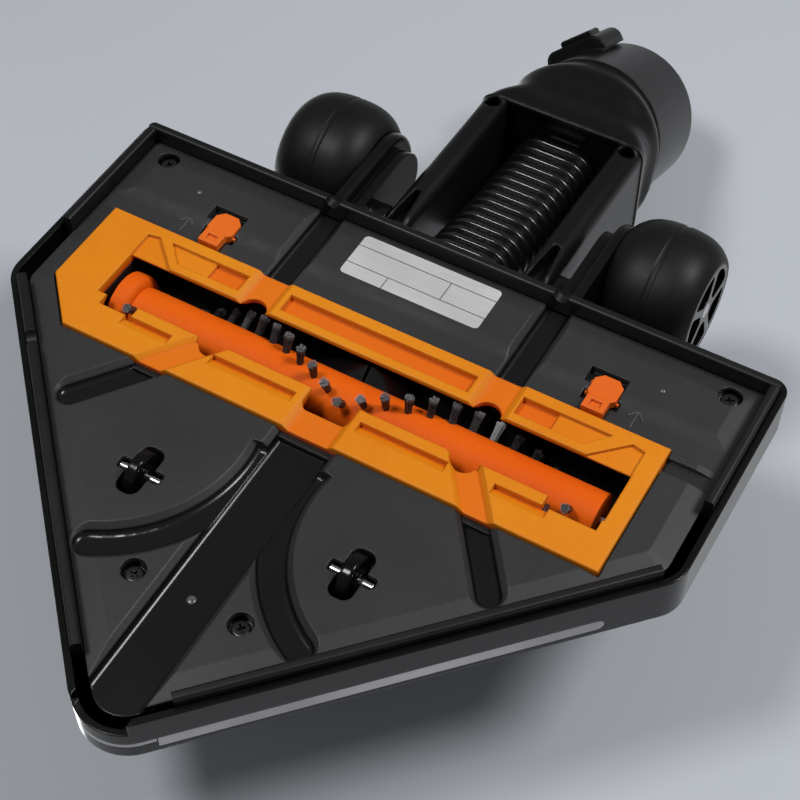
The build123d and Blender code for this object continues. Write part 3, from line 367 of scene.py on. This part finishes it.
finishes = {name: moulded(name + "Finish", look) for name, look in slotLooks.items()}
finishes["steel"] = turnedSteel("steelFinish", {
    "dark": tone(188, 189, 191), "light": tone(232, 232, 233), "rough": 0.2})
finishes["contact_brass"] = turnedSteel("brassFinish", {
    "dark": tone(180, 140, 70), "light": tone(214, 176, 98), "rough": 0.25})
finishes["lens_pale"] = ribbedLens("lensFinish", {
    "dark": tone(165, 164, 171), "light": tone(205, 203, 210), "ribs": 2400})
finishes["bristle_black"] = bristleNylon("bristleFinish", {
    "dark": tone(22, 22, 23), "light": tone(66, 66, 68), "pale": tone(128, 128, 130), "paleFrom": 0.0152,
    "paleTo": 0.0176, "rough": 0.34, "grain": 5200})
finishes["board_green"] = circuitBoard("boardFinish", {
    "board": tone(34, 92, 58), "pad": tone(200, 202, 196), "pitch": 900})
for entry in frame["record"]["subparts"]:
    wear(nodes[entry["node"]], finishes[entry["material_slot"]])
latchFinish = moulded("latchFinish", {
    "dark": tone(216, 92, 13), "light": tone(223, 105, 19), "rough": 0.4, "grain": 2600, "bump": 0.06,
    "edge": 0.0005})
for side in ("left", "right"):
    wear(nodes["cover_latch_" + side], latchFinish)

# the CAD counts Y from the rear screws, with the neck's pivot at pivotY
# spot brings such a place, in mm, into the frame
pivotY = 28.0
backShift = joints["neck_tilt"]["pos_m"][1] - pivotY * mm


def spot(x, y, z):
    return Vector((x * mm, y * mm + backShift, z * mm))


def addPiece(piece, body, material, replaced=()):
    wear(piece, material)
    if replaced:
        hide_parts(*replaced)
    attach(piece, body)


# brush tufts: each one a bundle of bristles that frays at its tip
tuftBundle = {"bristles": 34, "root": 8.5, "reach": 17.6, "rootRadius": 1.15, "tipRadius": 1.8,
              "thick": 0.26, "tipShare": 0.8, "uneven": 0.9, "spiral": 2.39996, "pitch": 7.4, "count": 12,
              "twist": 2.0, "angle": 34.0, "spin": 6.28}


def makeBundle(bundle):
    strands = []
    for index in range(bundle["bristles"]):
        ring = math.sqrt((index + 0.5) / bundle["bristles"])
        turn = index * bundle["spiral"]
        foot = Vector((math.cos(turn), math.sin(turn), 0)) * ring * bundle["rootRadius"]
        tip = Vector((math.cos(turn), math.sin(turn), 0)) * ring * bundle["tipRadius"]
        length = bundle["reach"] - bundle["root"] - random.uniform(0.0, bundle["uneven"])
        clearSelection()
        bpy.ops.mesh.primitive_cone_add(vertices=5, radius1=bundle["thick"] * mm,
                                        radius2=bundle["thick"] * bundle["tipShare"] * mm,
                                        depth=length * mm, location=(0, 0, length / 2 * mm))
        strand = bpy.context.object
        bpy.ops.object.mode_set(mode="EDIT")
        bpy.ops.mesh.select_all(action="SELECT")
        bpy.ops.mesh.subdivide(number_cuts=1)
        bpy.ops.object.mode_set(mode="OBJECT")
        seat(strand)
        for vertex in strand.data.vertices:
            share = vertex.co.z / (length * mm)
            lean = foot.lerp(tip, share * share)
            vertex.co.x += lean.x * mm
            vertex.co.y += lean.y * mm
        strands.append(strand)
    return joinAll(strands, "bristleBundle")


def makeTufts(bundle):
    master = makeBundle(bundle)
    axis = Vector(joints["brush_spin"]["pos_m"])
    copies = []
    for row in (0, 180):
        for step in range(-bundle["count"], bundle["count"] + 1):
            x = step * bundle["pitch"]
            angle = math.radians(180 - (bundle["angle"] - bundle["twist"] * abs(x) + row))
            place = (Matrix.Translation((x * mm, axis.y, axis.z)) @ Matrix.Rotation(angle, 4, "X")
                     @ Matrix.Translation((0, 0, bundle["root"] * mm))
                     @ Matrix.Rotation(random.uniform(0, bundle["spin"]), 4, "Z"))
            copies.append(copyOf(master, place))
    bpy.data.objects.remove(master)
    return joinAll(copies, "brushTufts")


addPiece(makeTufts(tuftBundle), "roller", finishes["bristle_black"], ["roller_tufts"])
print("tufts made")

# bellows hose between the head and the neck, sagging a little in the middle
bellows = {"width": 37.0, "height": 27.0, "corner": 13.0, "cornerSteps": 8, "valley": 2.6, "rings": 15,
           "cuff": 5.0, "farCuff": 10.0, "flankShare": 0.2, "crestShare": 0.4, "start": (16.0, 28.4),
           "end": (116.0, 44.0), "wall": 1.3, "sag": 2.5, "edge": 0.55, "foldAngle": 28, "foldSteps": 3}


def makeBellows(hose):
    run = Vector((hose["end"][0] - hose["start"][0], hose["end"][1] - hose["start"][1]))
    pitch = (run.length - hose["cuff"] - hose["farCuff"]) / hose["rings"]
    low = (hose["width"] - 2 * hose["valley"], hose["height"] - 2 * hose["valley"])
    grow = (hose["width"] / low[0], hose["height"] / low[1], 1)
    shrink = (low[0] / hose["width"], low[1] / hose["height"], 1)
    clearSelection()
    bpy.ops.mesh.primitive_plane_add(size=1)
    piece = bpy.context.object
    bpy.ops.object.mode_set(mode="EDIT")
    bpy.ops.mesh.select_all(action="SELECT")
    bpy.ops.transform.resize(value=(low[0] * mm, low[1] * mm, 1))
    corner = (hose["corner"] - hose["valley"]) * mm
    bpy.ops.mesh.bevel(offset=corner, segments=hose["cornerSteps"], affect="VERTICES")
    bpy.ops.mesh.select_all(action="SELECT")
    bpy.ops.mesh.delete(type="ONLY_FACE")
    bpy.ops.mesh.select_all(action="SELECT")

    def pull(length, size=None):
        bpy.ops.mesh.extrude_region_move(TRANSFORM_OT_translate={"value": (0, 0, length * mm)})
        if size:
            bpy.ops.transform.resize(value=size, center_override=(0, 0, 0))

    pull(hose["cuff"])
    for ring in range(hose["rings"]):
        pull(pitch * hose["flankShare"], grow)
        pull(pitch * hose["crestShare"])
        pull(pitch * hose["flankShare"], shrink)
        pull(pitch * hose["flankShare"])
    pull(hose["farCuff"])
    bpy.ops.object.mode_set(mode="OBJECT")
    piece.name = "bellowsHose"
    outward(piece)
    edge = piece.modifiers.new("fold", "BEVEL")
    edge.limit_method = "ANGLE"
    edge.angle_limit = math.radians(hose["foldAngle"])
    edge.width = hose["edge"] * mm
    edge.segments = hose["foldSteps"]
    skin = piece.modifiers.new("wall", "SOLIDIFY")
    skin.thickness = hose["wall"] * mm
    skin.offset = -1
    applyAll(piece)
    for vertex in piece.data.vertices:
        share = min(max(vertex.co.z / (run.length * mm), 0), 1)
        vertex.co.y -= 4 * share * (1 - share) * hose["sag"] * mm
    rise = math.atan2(run.y, run.x)
    upright = Matrix.Rotation(rise - math.pi / 2, 4, "X")
    piece.matrix_world = Matrix.Translation(spot(0, *hose["start"])) @ upright
    seat(piece)
    softShade(piece, 40)
    return piece


hosePiece = makeBellows(bellows)
wear(hosePiece, finishes["hose_black"])
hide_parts("flex_hose")
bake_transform(hosePiece)
print("bellows made")

# pan-head screws with a cross recess, up in the counterbores
screwHead = {"places": [(118, 0), (-118, 0), (20.6, -161), (-20.6, -161)], "radius": 3.4, "height": 2.4,
             "round": 0.9, "seat": 11.0, "cross": (4.0, 1.0, 1.5), "taper": (0.5, 0.8, 1), "shank": 1.6,
             "length": 14.0, "firstTurn": 0.5, "nextTurn": 0.6}


def makeScrews(screw):
    clearSelection()
    bpy.ops.mesh.primitive_cylinder_add(vertices=40, radius=screw["radius"] * mm,
                                        depth=screw["height"] * mm,
                                        location=(0, 0, -screw["height"] / 2 * mm))
    head = bpy.context.object
    seat(head)
    pickFaces(head, lambda face: face.normal.z < -0.9)
    bpy.ops.mesh.bevel(offset=screw["round"] * mm, segments=4, affect="EDGES")
    bpy.ops.object.mode_set(mode="OBJECT")
    for turn in (0, 90):
        clearSelection()
        bpy.ops.mesh.primitive_cube_add(size=1, location=(0, 0, -screw["height"] * mm),
                                        rotation=(0, 0, math.radians(turn)))
        blade = bpy.context.object
        blade.scale = [side * mm for side in screw["cross"][:2]] + [2 * screw["cross"][2] * mm]
        seat(blade)
        pickFaces(blade, lambda face: face.normal.z > 0.9)
        bpy.ops.transform.resize(value=screw["taper"])
        bpy.ops.object.mode_set(mode="OBJECT")
        cut = head.modifiers.new("recess", "BOOLEAN")
        cut.operation = "DIFFERENCE"
        cut.object = blade
        applyAll(head)
        bpy.data.objects.remove(blade)
    pickFaces(head, lambda face: face.normal.z > 0.9)
    bpy.ops.mesh.inset(thickness=(screw["radius"] - screw["shank"]) * mm)
    bpy.ops.mesh.extrude_region_move(TRANSFORM_OT_translate={"value": (0, 0, screw["length"] * mm)})
    bpy.ops.object.mode_set(mode="OBJECT")
    copies = []
    for index, (x, y) in enumerate(screw["places"]):
        turned = Matrix.Rotation(screw["firstTurn"] + screw["nextTurn"] * index, 4, "Z")
        copies.append(copyOf(head, Matrix.Translation(spot(x, y, screw["seat"])) @ turned))
    bpy.data.objects.remove(head)
    screws = joinAll(copies, "soleScrews")
    softShade(screws, 30)
    return screws


addPiece(makeScrews(screwHead), "head", finishes["screw_dark"], ["sole_screws"])
print("screws made")

# bare rating plate: a silver label with rule lines and no words
plate = {"x": (-27.3, 30.4), "y": (-17.2, 3.2), "z": 6.0, "thick": 0.2, "corner": 1.8, "rule": 0.36,
         "upperRule": -2.4, "lowerRule": -11.6, "leftRule": -9.0, "rightRule": 12.5}


def plateFinish(look):
    finish = Finish("plateFinish")
    cloud = finish.noise(30, 3, 0.5)
    brushed = finish.noise(1.0, 3, 0.6, finish.stretch(90, 4200, 90))
    x = finish.axis("X") / mm
    y = (finish.axis("Y") - backShift) / mm

    def band(value, low):
        return (value > low) * (value < low + plate["rule"])

    top = plate["upperRule"]
    bottom = plate["lowerRule"]
    lines = band(y, top) + band(y, bottom)
    lines = lines + band(x, plate["leftRule"]) * (y < top) * (y > bottom)
    lines = lines + band(x, plate["rightRule"]) * (y < bottom)
    body = finish.mix(finish.step(cloud * 0.6 + brushed * 0.4, 0.35, 0.65), look["dark"], look["light"])
    finish.put(baseColor=finish.mix(lines, body, look["line"]))
    finish.put(metallic=0.25, roughness=0.36 + (brushed - 0.5) * 0.16)
    finish.relief(brushed, 0.06, 0.00005)
    return finish.material


def makePlate(sizes):
    wide = sizes["x"][1] - sizes["x"][0]
    deep = sizes["y"][1] - sizes["y"][0]
    clearSelection()
    bpy.ops.mesh.primitive_plane_add(size=1)
    label = bpy.context.object
    bpy.ops.object.mode_set(mode="EDIT")
    bpy.ops.mesh.select_all(action="SELECT")
    bpy.ops.transform.resize(value=(wide * mm, deep * mm, 1))
    bpy.ops.mesh.bevel(offset=sizes["corner"] * mm, segments=5, affect="VERTICES")
    bpy.ops.mesh.select_all(action="SELECT")
    bpy.ops.mesh.extrude_region_move(TRANSFORM_OT_translate={"value": (0, 0, -sizes["thick"] * mm)})
    bpy.ops.object.mode_set(mode="OBJECT")
    label.location = spot(sum(sizes["x"]) / 2, sum(sizes["y"]) / 2, sizes["z"])
    seat(label)
    outward(label)
    label.name = "ratingPlate"
    return label


addPiece(makePlate(plate), "head",
         plateFinish({"dark": tone(188, 188, 188), "light": tone(212, 212, 212), "line": tone(70, 70, 72)}))
print("plate made")

# arrows moulded into the sole beside the latches
arrow = {"places": [(-93.2, -25.2), (93.6, -24.6)], "z": 7.1, "proud": 0.3, "wide": 0.8, "tall": 8.4,
         "barb": 4.6, "lean": 38, "soft": 0.15}


def makeArrows(mark):
    clearSelection()
    bpy.ops.mesh.primitive_cube_add(size=1)
    stem = bpy.context.object
    stem.scale = (mark["wide"] * mm, mark["tall"] * mm, 2 * mark["proud"] * mm)
    seat(stem)
    barbs = []
    for lean in (mark["lean"], -mark["lean"]):
        clearSelection()
        bpy.ops.mesh.primitive_cube_add(size=1)
        barb = bpy.context.object
        barb.scale = (mark["wide"] * mm, mark["barb"] * mm, 2 * mark["proud"] * mm)
        seat(barb)
        place = (Matrix.Translation((0, mark["tall"] / 2 * mm, 0))
                 @ Matrix.Rotation(math.radians(lean), 4, "Z")
                 @ Matrix.Translation((0, -mark["barb"] / 2 * mm, 0)))
        barb.data.transform(place)
        barbs.append(barb)
    sign = joinAll([stem] + barbs, "latchArrow")
    soft = sign.modifiers.new("soft", "BEVEL")
    soft.width = mark["soft"] * mm
    soft.segments = 2
    applyAll(sign)
    copies = [copyOf(sign, Matrix.Translation(spot(x, y, mark["z"]))) for x, y in mark["places"]]
    bpy.data.objects.remove(sign)
    return joinAll(copies, "latchArrows")


arrowFinish = moulded("arrowFinish", {
    "dark": tone(60, 60, 61), "light": tone(70, 70, 71), "rough": 0.4, "grain": 2400, "bump": 0.15,
    "edge": 0.0003})
addPiece(makeArrows(arrow), "head", arrowFinish)
print("arrows made")

# moulding pips on the sole, coloured paler than the sole as a painted highlight
pip = {"places": [(-96.8, -9.8, 6.0, 1.1), (97.5, -9.0, 6.0, 1.1), (0.0, -159.0, 11.0, 1.7)], "proud": 0.6}


def makePips(mark):
    pips = []
    for x, y, z, radius in mark["places"]:
        clearSelection()
        bpy.ops.mesh.primitive_uv_sphere_add(segments=20, ring_count=12, radius=1, location=spot(x, y, z))
        bump = bpy.context.object
        bump.scale = (radius * mm, radius * mm, mark["proud"] * mm)
        seat(bump)
        softShade(bump, 60)
        pips.append(bump)
    return joinAll(pips, "solePips")


# painted highlight: the pips' tones are paler than the sole they are moulded in
pipHighlightFinish = moulded("pipHighlightFinish", {
    "dark": tone(74, 74, 75), "light": tone(84, 84, 85), "rough": 0.26, "grain": 2400, "bump": 0.08,
    "coat": 0.4, "edge": 0.0})
addPiece(makePips(pip), "head", pipHighlightFinish)
print("pips made")

# camera at the photograph's angle, from below the floor
view = {"place": (-209.34, -381.85, -472.14), "turn": (38.115, -179.65, -29.975), "lens": 78.98,
        "sensor": 36}
cameraData = bpy.data.cameras.new("photoCamera")
cameraData.lens = view["lens"]
cameraData.sensor_width = view["sensor"]
camera = bpy.data.objects.new("photoCamera", cameraData)
bpy.context.scene.collection.objects.link(camera)
camera.location = spot(*view["place"])
camera.rotation_euler = [math.radians(angle) for angle in view["turn"]]
bpy.context.scene.camera = camera
print("camera set")


# two pale floors, each seen from one side only: the one the wheels stand on, and the one that the
# upturned head lies on in the photograph
def floorFinish():
    finish = Finish("paleFloor")
    tree = finish.tree
    cloud = finish.noise(3, 3, 0.5)
    finish.put(baseColor=finish.mix(cloud, tone(182, 186, 193), tone(190, 194, 200)), roughness=0.85)
    clear = finish.node("ShaderNodeBsdfTransparent")
    hidden = finish.node("ShaderNodeNewGeometry", out="Backfacing")
    shade = finish.node("ShaderNodeLightPath", out="Is Shadow Ray")
    both = hidden.maths("MAXIMUM", shade)
    mixed = tree.nodes.new("ShaderNodeMixShader")
    tree.links.new(both.socket, mixed.inputs[0])
    tree.links.new(finish.shader.outputs[0], mixed.inputs[1])
    tree.links.new(clear.socket, mixed.inputs[2])
    tree.links.new(mixed.outputs[0], finish.output.inputs["Surface"])
    return finish.material


paleFloor = floorFinish()
lyingGap = 0.0015
floors = {
    "standFloor": {"height": 0.0, "turn": 0.0, "size": 6.0},
    "lyingFloor": {"height": cadBox[1][2] + lyingGap, "turn": math.pi, "size": 2.4},
}
for name, sheet in floors.items():
    clearSelection()
    bpy.ops.mesh.primitive_plane_add(size=sheet["size"], location=(0, 0, sheet["height"]),
                                     rotation=(sheet["turn"], 0, 0))
    sheetFloor = bpy.context.object
    sheetFloor.name = name
    # the two sheets lie close to the part, so they stay out of its reflections
    sheetFloor.visible_glossy = False
    sheetFloor.visible_diffuse = False
    seat(sheetFloor)
    wear(sheetFloor, paleFloor)

# a sky that is brighter above the floor than below it
world = bpy.context.scene.world or bpy.data.worlds.new("studio")
bpy.context.scene.world = world
world.use_nodes = True
skyTree = world.node_tree
sky = {"color": (0.82, 0.84, 0.87, 1), "low": 0.2, "high": 0.6, "from": -0.05, "to": 0.35}
direction = skyTree.nodes.new("ShaderNodeTexCoord")
split = skyTree.nodes.new("ShaderNodeSeparateXYZ")
brighten = skyTree.nodes.new("ShaderNodeMapRange")
for socket, key in (("From Min", "from"), ("From Max", "to"), ("To Min", "low"), ("To Max", "high")):
    brighten.inputs[socket].default_value = sky[key]
skyTree.links.new(direction.outputs["Generated"], split.inputs[0])
skyTree.links.new(split.outputs["Z"], brighten.inputs["Value"])
skyTree.links.new(brighten.outputs[0], skyTree.nodes["Background"].inputs["Strength"])
skyTree.nodes["Background"].inputs["Color"].default_value = sky["color"]

lamps = {
    "keyBelow": {"place": (-0.72, 0.35, -1.05), "size": 0.42, "watts": 11.0},
    "stripBelow": {"place": (0.37, -0.35, -1.05), "size": 0.3, "watts": 6.5},
    "keyAbove": {"place": (0.95, 0.2, 1.25), "size": 0.8, "watts": 7.0},
    "fillAbove": {"place": (0.8, 0.7, 1.1), "size": 1.3, "watts": 6.0},
}
for name, lamp in lamps.items():
    lampData = bpy.data.lights.new(name, "AREA")
    lampData.energy = lamp["watts"]
    lampData.shape = "DISK"
    lampData.size = lamp["size"]
    lampObject = bpy.data.objects.new(name, lampData)
    bpy.context.scene.collection.objects.link(lampObject)
    lampObject.location = lamp["place"]
    lampObject.rotation_mode = "QUATERNION"
    lampObject.rotation_quaternion = (-Vector(lamp["place"])).to_track_quat("-Z", "Y")
bpy.context.scene.view_settings.view_transform = "Standard"
print("floors and lamps set")
